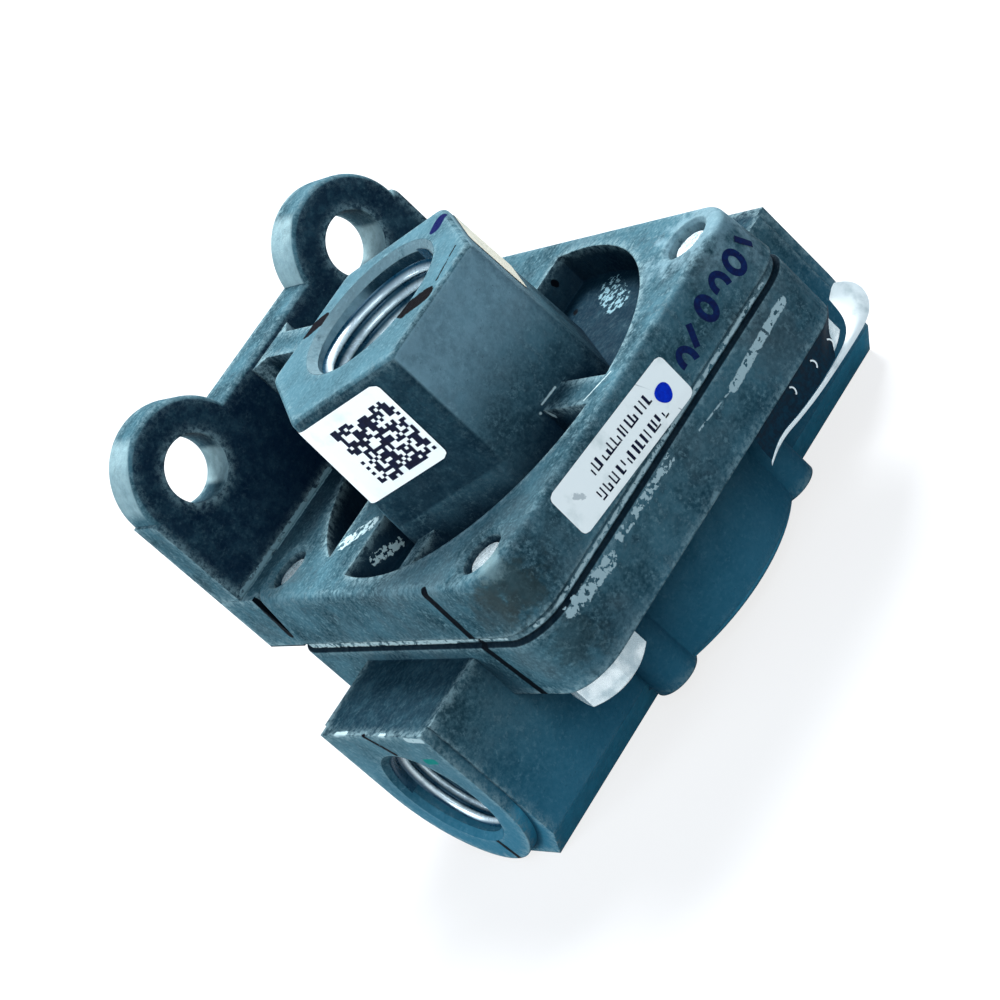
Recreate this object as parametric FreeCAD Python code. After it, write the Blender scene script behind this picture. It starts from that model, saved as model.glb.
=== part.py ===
"""Quick release valve for an air brake line, millimetres.

Z runs up the supply port's axis, with z = 0 on the flat ends of the two delivery bosses and of
the exhaust boss. X runs along the two delivery ports, and the mounting bracket stands at +Y.
"""
import FreeCAD
import Part
import math
import os

V = FreeCAD.Vector
UP = V(0, 0, 1)

# Heights above the base
bowl_bottom_z = 2.4
delivery_axis_z = 13.2
body_flange_z = 19.1
parting_z = 28.6
cover_height = 9.8
tower_height = 19.9

# Rounded square shared by the cover and the body
flange_half_x = 30.8
flange_half_y = 31.5
flange_corner_r = 6.5
flange_draft = 0.7
lip_height = 1.4
lip_inset = 0.45
cover_edge_r = 1.0
body_top_inset = 0.5
body_top_bevel = 0.5

# Screws that clamp the cover to the body
screw_inset_x = 6.3
screw_inset_y = 6.9
screw_r = 3.0
screw_head_across = 10.0
screw_head_height = 4.2
screw_head_turn = 15.0
screw_head_bevel = 0.35
screw_crown_angle = 30.0
screw_tip_bevel = 0.7
screw_tip_below_top = 1.2
screw_clearance = 0.3
thread_clearance = 0.05
screw_mouth_r = 3.6
screw_mouth_depth = 0.6

# Ring-shaped recess round the tower, crossed by ribs
recess_wall = 3.5
recess_depth = 5.0
side_rib_y = 6.3
side_rib_width = 7.7
front_rib_width = 4.6
low_rib_y = -3.2
low_rib_width = 2.4
low_rib_drop = 2.2

# Six-sided tower
tower_across = 31.2
tower_corner_r = 2.0
tower_edge_r = 0.9
tower_draft = 0.9
tower_shift_x = -1.3
tower_shift_y = -1.0

# Supply port at the top of the tower
supply_r = 10.2
supply_depth = 17.0
supply_mouth_r = 11.1
supply_mouth_depth = 1.1
supply_passage_r = 9.2
inlet_seat_wall = 2.2
inlet_seat_height = 0.5

# Bracket with two ears
bracket_step_y = 0.3
bracket_thickness = 6.4
bracket_side_step = 0.9
bracket_web_height = 18.2
bracket_edge_r = 1.2
ear_inset_x = 10.1
ear_height = 15.7
ear_r = 9.7
ear_hole_r = 4.65
stay_width = 4.6
stay_drop = 1.0
stay_fillet_r = 2.0

# Body below the flange
bowl_r = 22.0
bowl_edge_r = 1.2
diagonal_rib_r = 21.5
diagonal_rib_width = 6.8
exhaust_boss_r = 11.5
exhaust_r = 6.0

# Delivery bosses
delivery_half_span = 42.7
boss_half_width = 13.4
boss_flat_half_width = 9.4
boss_chamfer_height = 4.3
boss_top_drop = 2.3
boss_pad_height = 1.6
boss_pad_r = 12.8
delivery_r = 8.3
delivery_depth = 15.0
delivery_mouth_r = 9.0
delivery_mouth_depth = 0.9
delivery_passage_r = 6.0

# Chambers inside the body
diaphragm_chamber_r = 19.5
diaphragm_chamber_depth = 6.6
delivery_chamber_r = 18.5
floor_thickness = 4.0
stem_r = 8.6
stem_drop = 5.4
ledge_r = 12.6
ledge_z = 16.0

# Moving diaphragm, its seat ring and its spring
diaphragm_r = 18.0
diaphragm_thickness = 2.3
diaphragm_edge_r = 0.55
diaphragm_gap = 0.2
seat_ring_r = 12.8
seat_ring_thickness = 1.2
seat_ring_clearance = 0.8
spring_r = 11.0
spring_wire_r = 0.55
spring_turns = 3.5
spring_sections_per_turn = 16

# Seal between the cover and the body
seal_r = 22.6
seal_section_r = 1.2
seal_gap = 0.02
seal_side_gap = 0.2

# Places worked out from the sizes above
screw_half_x = flange_half_x - screw_inset_x
screw_half_y = flange_half_y - screw_inset_y
recess_r = min(flange_half_x, flange_half_y) - recess_wall
bracket_half_x = flange_half_x - bracket_side_step
bracket_front_y = flange_half_y + bracket_step_y
ear_half_x = bracket_half_x - ear_inset_x
cover_top_z = parting_z + cover_height
tower_top_z = cover_top_z + tower_height
recess_floor_z = cover_top_z - recess_depth
lip_top_z = parting_z + lip_height
ear_z = cover_top_z + ear_height
bracket_back_y = bracket_front_y + bracket_thickness
boss_top_z = parting_z - boss_top_drop
boss_pad_x = delivery_half_span - boss_pad_height
seat_face_z = parting_z - inlet_seat_height
diaphragm_top_z = seat_face_z - diaphragm_gap
diaphragm_bottom_z = diaphragm_top_z - diaphragm_thickness
seat_ring_bottom_z = diaphragm_bottom_z - seat_ring_thickness
chamber_floor_z = bowl_bottom_z + floor_thickness
stem_top_z = parting_z - stem_drop

# Overshoot of the cutting shapes, and how close counts as touching
cut_margin = 1.0
tolerance = 0.01


def cylinder(radius, z0, z1, x=0.0, y=0.0):
    """Upright cylinder between two heights."""
    return Part.makeCylinder(radius, z1 - z0, V(x, y, z0), UP)


def cone(r0, r1, z0, z1, x=0.0, y=0.0):
    """Upright cone from radius r0 at z0 to radius r1 at z1."""
    return Part.makeCone(r0, r1, z1 - z0, V(x, y, z0), UP)


def box(x0, x1, y0, y1, z0, z1):
    """Box between two corners."""
    return Part.makeBox(x1 - x0, y1 - y0, z1 - z0, V(x0, y0, z0))


def rounded_outline(corners, radius):
    """Closed wire through the corners, each rounded with a tangent arc of one radius."""
    count = len(corners)
    starts = []
    middles = []
    ends = []
    for i in range(count):
        corner = corners[i]
        to_last = (corners[i - 1] - corner).normalize()
        to_next = (corners[(i + 1) % count] - corner).normalize()
        half_angle = to_last.getAngle(to_next) / 2.0
        setback = radius / math.tan(half_angle)
        bisector = (to_last + to_next).normalize()
        centre = corner + bisector * (radius / math.sin(half_angle))
        starts.append(corner + to_last * setback)
        middles.append(centre - bisector * radius)
        ends.append(corner + to_next * setback)
    edges = []
    for i in range(count):
        edges.append(Part.Arc(starts[i], middles[i], ends[i]).toShape())
        edges.append(Part.LineSegment(ends[i], starts[(i + 1) % count]).toShape())
    return Part.Wire(edges)


def rectangle_corners(half_x, half_y, z):
    """Corners of a centred rectangle at one height."""
    return [V(-half_x, -half_y, z), V(half_x, -half_y, z), V(half_x, half_y, z), V(-half_x, half_y, z)]


def rounded_block(half_x, half_y, corner_r, z0, z1, top_inset):
    """Block with rounded upright corners whose top outline is smaller by top_inset."""
    low = rounded_outline(rectangle_corners(half_x, half_y, z0), corner_r)
    high = rounded_outline(rectangle_corners(half_x - top_inset, half_y - top_inset, z1), corner_r)
    return Part.makeLoft([low, high], True, True)


def hexagon_corners(across, z, x, y):
    """Corners of a hexagon with two flats facing along Y."""
    corner_distance = across / math.sqrt(3.0)
    corners = []
    for i in range(6):
        angle = math.radians(60.0 * i)
        corners.append(V(x + corner_distance * math.cos(angle), y + corner_distance * math.sin(angle), z))
    return corners


def screw_places():
    """Positions of the four screws, anticlockwise from the front left corner."""
    signs = [(-1, -1), (1, -1), (1, 1), (-1, 1)]
    return [(sx * screw_half_x, sy * screw_half_y) for sx, sy in signs]


def edges_at_height(shape, z):
    """Edges that lie wholly at one height."""
    found = []
    for edge in shape.Edges:
        bounds = edge.BoundBox
        if abs(bounds.ZMin - z) < tolerance and abs(bounds.ZMax - z) < tolerance:
            found.append(edge)
    return found


def tower_solid():
    """Six-sided tower with draft and a rounded top edge, reaching down into the flange."""
    base_z = recess_floor_z - cut_margin
    low_across = tower_across + 2 * tower_draft
    low = rounded_outline(hexagon_corners(low_across, base_z, tower_shift_x, tower_shift_y), tower_corner_r)
    high = rounded_outline(hexagon_corners(tower_across, tower_top_z, tower_shift_x, tower_shift_y),
                           tower_corner_r)
    tower = Part.makeLoft([low, high], True, True)
    return tower.makeFillet(tower_edge_r, edges_at_height(tower, tower_top_z))


def recess_ribs():
    """Ribs that cross the recess: two beside the tower, one in front and one low one on the left."""
    top = cover_top_z
    floor = recess_floor_z
    reach = recess_r + cut_margin
    side = box(-reach, reach, side_rib_y, side_rib_y + side_rib_width, floor, top)
    front = box(-front_rib_width / 2, front_rib_width / 2, -reach, 0, floor, top)
    half = low_rib_width / 2
    low = box(-reach, 0, low_rib_y - half, low_rib_y + half, floor, top - low_rib_drop)
    return side.fuse([front, low])


def cover_recess():
    """Ring-shaped space round the tower, with the ribs left standing."""
    space = cylinder(recess_r, recess_floor_z, cover_top_z + cut_margin)
    return space.cut(recess_ribs())


def bracket_solid():
    """Upright plate over the cover's top, with two round ears, each with a hole."""
    web_top_z = cover_top_z + bracket_web_height
    plate = box(-bracket_half_x, bracket_half_x, bracket_front_y, bracket_back_y, cover_top_z, web_top_z)
    ears = []
    for side in (-1, 1):
        x = side * ear_half_x
        ears.append(Part.makeCylinder(ear_r, bracket_thickness, V(x, bracket_front_y, ear_z), V(0, 1, 0)))
        corner_x0, corner_x1 = sorted((x, side * (bracket_half_x + cut_margin)))
        outer = box(corner_x0, corner_x1, bracket_front_y, bracket_back_y, ear_z, web_top_z + cut_margin)
        plate = plate.cut(outer)
    plate = plate.fuse(ears).removeSplitter()
    front_edges = []
    for edge in plate.Edges:
        bounds = edge.BoundBox
        on_front = abs(bounds.YMax - bracket_front_y) < tolerance
        if on_front and bounds.ZMin > cover_top_z + tolerance:
            front_edges.append(edge)
    plate = plate.makeFillet(bracket_edge_r, front_edges)
    holes = []
    for side in (-1, 1):
        start = V(side * ear_half_x, bracket_front_y - cut_margin, ear_z)
        holes.append(Part.makeCylinder(ear_hole_r, bracket_thickness + 2 * cut_margin, start, V(0, 1, 0)))
    return plate.cut(holes)


def stay_solid():
    """Upright stay that joins the tower to the middle of the bracket."""
    top = cover_top_z + bracket_web_height - stay_drop
    web = box(-stay_width / 2, stay_width / 2, 0, bracket_front_y, recess_floor_z, top)
    foot_half = stay_width / 2 + stay_fillet_r
    foot = [V(-foot_half, bracket_front_y, recess_floor_z), V(foot_half, bracket_front_y, recess_floor_z),
            V(stay_width / 2, bracket_front_y - stay_fillet_r, recess_floor_z),
            V(-stay_width / 2, bracket_front_y - stay_fillet_r, recess_floor_z)]
    flare = Part.Face(Part.makePolygon(foot + [foot[0]])).extrude(V(0, 0, top - recess_floor_z))
    return web.fuse(flare)


def cover_solid():
    """Cover: flange, recess, tower with the supply port, stay, and the step that carries the bracket."""
    lip = rounded_block(flange_half_x - lip_inset, flange_half_y - lip_inset, flange_corner_r,
                        parting_z, lip_top_z, 0.0)
    block = rounded_block(flange_half_x, flange_half_y, flange_corner_r, lip_top_z, cover_top_z, flange_draft)
    block = block.makeFillet(cover_edge_r, edges_at_height(block, cover_top_z))
    bridge_y = recess_r + cut_margin
    bridge = box(-bracket_half_x, bracket_half_x, bridge_y, bracket_back_y, parting_z, cover_top_z)
    cover = block.fuse([lip, bridge])
    cover = cover.cut(cover_recess())
    cover = cover.fuse([tower_solid(), stay_solid()])
    seat_ring = cylinder(supply_passage_r + inlet_seat_wall, seat_face_z, parting_z + cut_margin)
    cover = cover.fuse(seat_ring)
    cuts = [cylinder(supply_r, tower_top_z - supply_depth, tower_top_z + cut_margin),
            cone(supply_r, supply_mouth_r, tower_top_z - supply_mouth_depth, tower_top_z),
            cylinder(supply_passage_r, seat_face_z - cut_margin, tower_top_z)]
    hole_r = screw_r + thread_clearance
    for x, y in screw_places():
        cuts.append(cylinder(hole_r, parting_z - cut_margin, cover_top_z + cut_margin, x, y))
        cuts.append(cone(screw_r, screw_mouth_r, cover_top_z - screw_mouth_depth, cover_top_z, x, y))
    return cover.cut(cuts).removeSplitter()


def boss_profile(x):
    """Outline of the delivery bosses, seen along X: upright sides and a bevelled underside."""
    return Part.makePolygon([V(x, -boss_half_width, boss_top_z), V(x, -boss_half_width, boss_chamfer_height),
                             V(x, -boss_flat_half_width, 0), V(x, boss_flat_half_width, 0),
                             V(x, boss_half_width, boss_chamfer_height), V(x, boss_half_width, boss_top_z),
                             V(x, -boss_half_width, boss_top_z)])


def boss_solids():
    """Bar across the body that carries both delivery ports, and a faced pad at each end."""
    bar = Part.Face(boss_profile(-boss_pad_x)).extrude(V(2 * boss_pad_x, 0, 0))
    pads = []
    for side in (-1, 1):
        axis = V(side, 0, 0)
        pad = Part.makeCylinder(boss_pad_r, boss_pad_height, V(side * boss_pad_x, 0, delivery_axis_z), axis)
        x0, x1 = sorted((side * boss_pad_x, side * delivery_half_span))
        pads.append(pad.fuse(box(x0, x1, -boss_pad_r, boss_pad_r, delivery_axis_z, boss_top_z)))
    return bar.fuse(pads)


def diagonal_ribs():
    """Four upright ribs with round ends, standing out from the bowl towards the screws."""
    ribs = []
    half = diagonal_rib_width / 2
    for i in range(4):
        rib = box(0, diagonal_rib_r, -half, half, bowl_bottom_z, body_flange_z)
        rib = rib.fuse(cylinder(half, bowl_bottom_z, body_flange_z, diagonal_rib_r, 0))
        rib.rotate(V(0, 0, 0), UP, 45.0 + 90.0 * i)
        ribs.append(rib)
    return ribs


def body_chambers():
    """Spaces inside the body: the diaphragm's chamber and the chamber the delivery ports open into."""
    upper = cylinder(diaphragm_chamber_r, parting_z - diaphragm_chamber_depth, parting_z + cut_margin)
    lower = cylinder(delivery_chamber_r, chamber_floor_z, parting_z)
    stem = cylinder(stem_r, chamber_floor_z, stem_top_z)
    ledge = cylinder(ledge_r, chamber_floor_z, ledge_z)
    return upper.fuse(lower).cut([stem, ledge])


def delivery_cuts(side):
    """Threaded port, its countersink and the passage into the chamber, on one side."""
    outward = V(side, 0, 0)
    bore_start = V(side * (delivery_half_span - delivery_depth), 0, delivery_axis_z)
    bore = Part.makeCylinder(delivery_r, delivery_depth + cut_margin, bore_start, outward)
    mouth_start = V(side * (delivery_half_span - delivery_mouth_depth), 0, delivery_axis_z)
    mouth = Part.makeCone(delivery_r, delivery_mouth_r, delivery_mouth_depth, mouth_start, outward)
    inner_x = (ledge_r + delivery_chamber_r) / 2
    passage_start = V(side * inner_x, 0, delivery_axis_z)
    passage_length = delivery_half_span - delivery_depth - inner_x + cut_margin
    passage = Part.makeCylinder(delivery_passage_r, passage_length, passage_start, outward)
    return [bore, mouth, passage]


def seal_groove():
    """Groove for the seal ring in the body's top face."""
    half = seal_section_r + seal_side_gap
    depth = 2 * (seal_section_r + seal_gap)
    outer = cylinder(seal_r + half, parting_z - depth, parting_z + cut_margin)
    return outer.cut(cylinder(seal_r - half, parting_z - depth, parting_z + cut_margin))


def body_solid():
    """Body: flange, bowl, ribs and delivery bosses in one casting."""
    wall_top_z = parting_z - body_top_bevel
    wall = rounded_block(flange_half_x, flange_half_y, flange_corner_r, body_flange_z, wall_top_z, 0.0)
    step = rounded_block(flange_half_x, flange_half_y, flange_corner_r, wall_top_z, parting_z, body_top_inset)
    bowl = cylinder(bowl_r, bowl_bottom_z, body_flange_z)
    bowl = bowl.makeFillet(bowl_edge_r, edges_at_height(bowl, bowl_bottom_z))
    exhaust_boss = cylinder(exhaust_boss_r, 0, bowl_bottom_z)
    body = wall.fuse([step, bowl, exhaust_boss, boss_solids()] + diagonal_ribs())
    cuts = [body_chambers(), seal_groove(), cylinder(exhaust_r, -cut_margin, parting_z)]
    for side in (-1, 1):
        cuts += delivery_cuts(side)
    hole_r = screw_r + screw_clearance
    for x, y in screw_places():
        cuts.append(cylinder(hole_r, body_flange_z - cut_margin, parting_z + cut_margin, x, y))
    return body.cut(cuts).removeSplitter()


def screw_solid(x, y):
    """Hexagon screw that enters from below, with its head against the body's flange."""
    head_bottom_z = body_flange_z - screw_head_height
    tip_z = cover_top_z - screw_tip_below_top
    corners = hexagon_corners(screw_head_across, head_bottom_z, 0, 0)
    head = Part.Face(Part.makePolygon(corners + [corners[0]])).extrude(V(0, 0, screw_head_height))
    head.rotate(V(0, 0, 0), UP, screw_head_turn)
    face_r = screw_head_across / 2 - screw_head_bevel
    corner_r = screw_head_across / math.sqrt(3.0)
    crown_r = face_r + screw_head_height / math.tan(math.radians(screw_crown_angle))
    crown = cone(face_r, crown_r, head_bottom_z, body_flange_z)
    crown = crown.common(cylinder(corner_r, head_bottom_z, body_flange_z))
    shank = cylinder(screw_r, body_flange_z, tip_z - screw_tip_bevel)
    tip = cone(screw_r, screw_r - screw_tip_bevel, tip_z - screw_tip_bevel, tip_z)
    screw = head.common(crown).fuse([shank, tip]).removeSplitter()
    screw.translate(V(x, y, 0))
    return screw


def diaphragm_solid():
    """Flat rubber diaphragm under the inlet seat."""
    disc = cylinder(diaphragm_r, diaphragm_bottom_z, diaphragm_top_z)
    rims = edges_at_height(disc, diaphragm_bottom_z) + edges_at_height(disc, diaphragm_top_z)
    return disc.makeFillet(diaphragm_edge_r, rims)


def seat_ring_solid():
    """Ring that carries the diaphragm on the spring."""
    ring = cylinder(seat_ring_r, seat_ring_bottom_z, diaphragm_bottom_z)
    return ring.cut(cylinder(stem_r + seat_ring_clearance, seat_ring_bottom_z, diaphragm_bottom_z))


def spring_solid():
    """Coil spring between the body's ledge and the seat ring, as a loft through round sections."""
    low = ledge_z + spring_wire_r
    height = seat_ring_bottom_z - spring_wire_r - low
    rise = height / (2 * math.pi * spring_turns)
    count = round(spring_turns * spring_sections_per_turn)
    sections = []
    for i in range(count + 1):
        angle = 2 * math.pi * spring_turns * i / count
        centre = V(spring_r * math.cos(angle), spring_r * math.sin(angle), low + rise * angle)
        along = V(-spring_r * math.sin(angle), spring_r * math.cos(angle), rise)
        sections.append(Part.Wire([Part.Circle(centre, along, spring_wire_r).toShape()]))
    return Part.makeLoft(sections, True, True)


def seal_solid():
    """Round-section seal ring in the body's groove."""
    return Part.makeTorus(seal_r, seal_section_r, V(0, 0, parting_z - seal_section_r - seal_gap), UP)


def build():
    """All pieces by node name."""
    pieces = {"cover": cover_solid(), "bracket": bracket_solid(), "body": body_solid(),
              "diaphragm": diaphragm_solid(), "seat_ring": seat_ring_solid(),
              "diaphragm_spring": spring_solid(), "cover_seal": seal_solid()}
    for number, (x, y) in enumerate(screw_places(), 1):
        pieces["screw_%d" % number] = screw_solid(x, y)
    return pieces


os.makedirs("parts", exist_ok=True)
for name, shape in build().items():
    print(name, len(shape.Solids), shape.isValid(), round(shape.Volume, 1))
    shape.exportStep("parts/%s.step" % name)
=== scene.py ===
"""Looks of an air brake quick release valve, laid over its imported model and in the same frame.

The sections follow the valve as it is put together: body casting, inner pieces, cover casting, screws,
port threads, labels, ink, curled label and last the studio. Lengths are in metres, and MM is one millimetre.
"""
import math

import bpy
import numpy as np
from mathutils import Matrix, Vector


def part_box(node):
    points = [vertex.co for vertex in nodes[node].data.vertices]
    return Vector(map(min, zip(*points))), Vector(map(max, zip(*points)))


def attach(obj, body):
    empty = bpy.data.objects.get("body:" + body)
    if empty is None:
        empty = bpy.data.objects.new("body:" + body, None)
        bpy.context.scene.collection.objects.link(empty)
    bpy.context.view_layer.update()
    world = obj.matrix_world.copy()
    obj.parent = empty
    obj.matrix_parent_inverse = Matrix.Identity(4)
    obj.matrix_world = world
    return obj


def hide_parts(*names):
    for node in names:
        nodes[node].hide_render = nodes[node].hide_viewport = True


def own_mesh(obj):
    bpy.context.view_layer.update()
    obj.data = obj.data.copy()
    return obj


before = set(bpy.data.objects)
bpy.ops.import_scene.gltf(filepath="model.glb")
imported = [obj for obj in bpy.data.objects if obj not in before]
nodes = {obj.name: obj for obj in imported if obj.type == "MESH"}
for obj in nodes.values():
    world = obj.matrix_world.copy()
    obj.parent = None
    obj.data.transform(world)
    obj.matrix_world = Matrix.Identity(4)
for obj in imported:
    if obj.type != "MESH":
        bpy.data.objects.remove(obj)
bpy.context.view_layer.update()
MM = 0.001


# Body casting
# The lower half is die cast in aluminium alloy and left as cast, so its skin is dull blue-grey with a
# fine grain, cloudy patches and rubbed edges. Only the port faces and the feet are machined.
def shade(tree, kind, inputs=None, **settings):
    """Adds one shader node. inputs maps sockets to values or to other nodes' outputs."""
    made = tree.nodes.new("ShaderNode" + kind)
    for name, value in settings.items():
        setattr(made, name, value)
    for socket, value in (inputs or {}).items():
        if isinstance(value, bpy.types.NodeSocket):
            tree.links.new(value, made.inputs[socket])
        else:
            made.inputs[socket].default_value = value
    return made


def calc(tree, operation, first, second=0.0):
    """Result of one Math node."""
    return shade(tree, "Math", {0: first, 1: second}, operation=operation).outputs[0]


def vector_calc(tree, operation, first, second=(0, 0, 0), output="Vector"):
    """Result of one Vector Math node."""
    return shade(tree, "VectorMath", {0: first, 1: second}, operation=operation).outputs[output]


def ramp(tree, value, low, high, to_low=0.0, to_high=1.0):
    """Value carried smoothly from the range low to high into the range to_low to to_high."""
    return shade(tree, "MapRange", {0: value, 1: low, 2: high, 3: to_low, 4: to_high},
                 interpolation_type="SMOOTHSTEP").outputs[0]


def tint(tree, mask, under, over):
    """Colour under, covered by colour over where the mask is 1."""
    return shade(tree, "Mix", {0: mask, 6: under, 7: over}, data_type="RGBA").outputs[2]


def noise(tree, place, size, detail=3.0, roughness=0.55):
    """Noise from 0 to 1 whose patches are about size across."""
    return shade(tree, "TexNoise", {"Vector": place, "Scale": 1 / size, "Detail": detail,
                                    "Roughness": roughness}).outputs[0]


def colour(red, green, blue):
    """Linear colour with full alpha from three display values of 0 to 255."""
    shown = np.array([red, green, blue]) / 255
    linear = np.where(shown <= 0.04045, shown / 12.92, ((shown + 0.055) / 1.055) ** 2.4)
    return (*linear.tolist(), 1.0)


def new_material(name):
    """Empty material, with its tree, its surface shader and the place on the object."""
    made = bpy.data.materials.new(name)
    made.use_nodes = True
    tree = made.node_tree
    return made, tree, tree.nodes["Principled BSDF"], shade(tree, "TexCoord").outputs["Object"]


def add_bump(tree, surface, strength, distance, height, **normal):
    """Feeds a bump of this height into the surface's normal."""
    bump = shade(tree, "Bump", {"Strength": strength, "Distance": distance, "Height": height, **normal})
    tree.links.new(bump.outputs["Normal"], surface.inputs["Normal"])


def effect(name, inputs, outputs):
    """Empty node group, with its inner tree and the sockets at its two ends."""
    group = bpy.data.node_groups.new(name, "ShaderNodeTree")
    for socket, kind in inputs:
        group.interface.new_socket(socket, in_out="INPUT", socket_type="NodeSocket" + kind)
    for socket, kind in outputs:
        group.interface.new_socket(socket, in_out="OUTPUT", socket_type="NodeSocket" + kind)
    return group, group.nodes.new("NodeGroupInput").outputs, group.nodes.new("NodeGroupOutput").inputs


def cast_skin_effect():
    """Skin of a die casting: clouds of tone, a fine grain, scattered pits and the height of them all."""
    group, given, wanted = effect("cast_skin", [("Place", "Vector")],
                                  [("Cloud", "Float"), ("Grain", "Float"), ("Height", "Float")])
    cloud = noise(group, given["Place"], 7 * MM, 5.0, 0.6)
    grain = noise(group, given["Place"], 0.55 * MM, 4.0, 0.7)
    flecks = shade(group, "TexVoronoi", {"Vector": given["Place"], "Scale": 1 / (0.9 * MM)})
    pits = ramp(group, flecks.outputs["Distance"], 0.04, 0.16, 1.0, 0.0)
    height = calc(group, "SUBTRACT", calc(group, "ADD", grain, calc(group, "MULTIPLY", cloud, 0.5)),
                  calc(group, "MULTIPLY", pits, 0.6))
    group.links.new(ramp(group, cloud, 0.32, 0.68), wanted["Cloud"])
    pitted = calc(group, "SUBTRACT", grain, calc(group, "MULTIPLY", pits, 0.15))
    group.links.new(ramp(group, pitted, 0.34, 0.68), wanted["Grain"])
    group.links.new(height, wanted["Height"])
    return group


def edge_and_shade_effect():
    """Masks of outer edges, found as thin stock behind the surface, and of sheltered hollows, where shade is
    painted.
    """
    group, given, wanted = effect("edges_and_hollow_shade", [("Place", "Vector")],
                                  [("Edge", "Float"), ("Hollow Shade", "Float")])
    inner = shade(group, "AmbientOcclusion", {"Distance": 2.0 * MM}, samples=6, inside=True, only_local=True)
    outer = shade(group, "AmbientOcclusion", {"Distance": 22 * MM}, samples=6)
    rub = ramp(group, noise(group, given["Place"], 1.1 * MM, 5.0, 0.75), 0.4, 0.6, 0.12, 1.0)
    edge = ramp(group, inner.outputs["AO"], 0.5, 0.92, 1.0, 0.0)
    group.links.new(calc(group, "MULTIPLY", edge, rub), wanted["Edge"])
    group.links.new(ramp(group, outer.outputs["AO"], 0.2, 0.85, 1.0, 0.0), wanted["Hollow Shade"])
    return group


def stroke_effect():
    """Mask of a ragged stroke round the straight line from Start to End."""
    group, given, wanted = effect("stroke", [("Place", "Vector"), ("Start", "Vector"), ("End", "Vector"),
                                             ("Half Width", "Float"), ("Ragged", "Float"), ("Gaps", "Float")],
                                  [("Mask", "Float")])
    from_start = vector_calc(group, "SUBTRACT", given["Place"], given["Start"])
    line = vector_calc(group, "SUBTRACT", given["End"], given["Start"])
    along = calc(group, "DIVIDE", vector_calc(group, "DOT_PRODUCT", from_start, line, "Value"),
                 vector_calc(group, "DOT_PRODUCT", line, line, "Value"))
    share = shade(group, "Clamp", {0: along}).outputs[0]
    scaled = shade(group, "VectorMath", {0: line, "Scale": share}, operation="SCALE").outputs["Vector"]
    away = vector_calc(group, "DISTANCE", from_start, scaled, "Value")
    fray = calc(group, "SUBTRACT", noise(group, given["Place"], 0.8 * MM, 4.0, 0.7), 0.5)
    away = calc(group, "ADD", away, calc(group, "MULTIPLY", fray, given["Ragged"]))
    paint = ramp(group, calc(group, "SUBTRACT", away, given["Half Width"]), -0.08 * MM, 0.08 * MM, 1.0, 0.0)
    holes = calc(group, "GREATER_THAN", noise(group, given["Place"], 0.9 * MM, 3.0, 0.6), given["Gaps"])
    group.links.new(calc(group, "MULTIPLY", paint, holes), wanted["Mask"])
    return group


cast_skin = cast_skin_effect()
edges_and_hollow_shade = edge_and_shade_effect()
stroke = stroke_effect()


def add_strokes(tree, place, tone, strokes):
    """Tone with strokes over it, each as (start, end, half width, raggedness, share of gaps, colour)."""
    for start, end, half_width, ragged, gaps, paint in strokes:
        mark = shade(tree, "Group", {"Place": place, "Start": [v * MM for v in start],
                                     "End": [v * MM for v in end], "Half Width": half_width * MM,
                                     "Ragged": ragged * MM, "Gaps": gaps}, node_tree=stroke)
        tone = tint(tree, mark.outputs["Mask"], tone, paint)
    return tone


def add_painted_lighting(tree, place, tone, painted_lighting):
    """Tone with cloudy painted light and shade on faces turned to an axis, each as (axis, height where it is
    clear, height where it is full, amount, colour)."""
    height = shade(tree, "SeparateXYZ", {0: place}).outputs["Z"]
    facing = shade(tree, "NewGeometry").outputs["Normal"]
    cloudy = ramp(tree, noise(tree, place, 1.7 * MM, 5.0, 0.7), 0.36, 0.62, 0.7, 1.0)
    for axis, clear_z, full_z, amount, lighting_tone in painted_lighting:
        turned = ramp(tree, vector_calc(tree, "DOT_PRODUCT", facing, axis, "Value"), 0.8, 0.92, 0.0, amount)
        low_z, high_z = sorted((clear_z, full_z))
        reach = ramp(tree, height, low_z * MM, high_z * MM, float(clear_z > full_z), float(clear_z < full_z))
        mask = calc(tree, "MULTIPLY", calc(tree, "MULTIPLY", turned, reach), cloudy)
        tone = tint(tree, mask, tone, lighting_tone)
    return tone


def add_smudges(tree, place, tone, smudges):
    """Tone with soft round patches over it, each as (centre, radius, amount, colour)."""
    wander = calc(tree, "SUBTRACT", noise(tree, place, 2.5 * MM, 5.0, 0.7), 0.5)
    for centre, radius, amount, patch in smudges:
        away = vector_calc(tree, "DISTANCE", place, [v * MM for v in centre], "Value")
        away = calc(tree, "ADD", away, calc(tree, "MULTIPLY", wander, 2.5 * radius * MM))
        tone = tint(tree, ramp(tree, away, 0.4 * radius * MM, radius * MM, amount, 0.0), tone, patch)
    return tone


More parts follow.
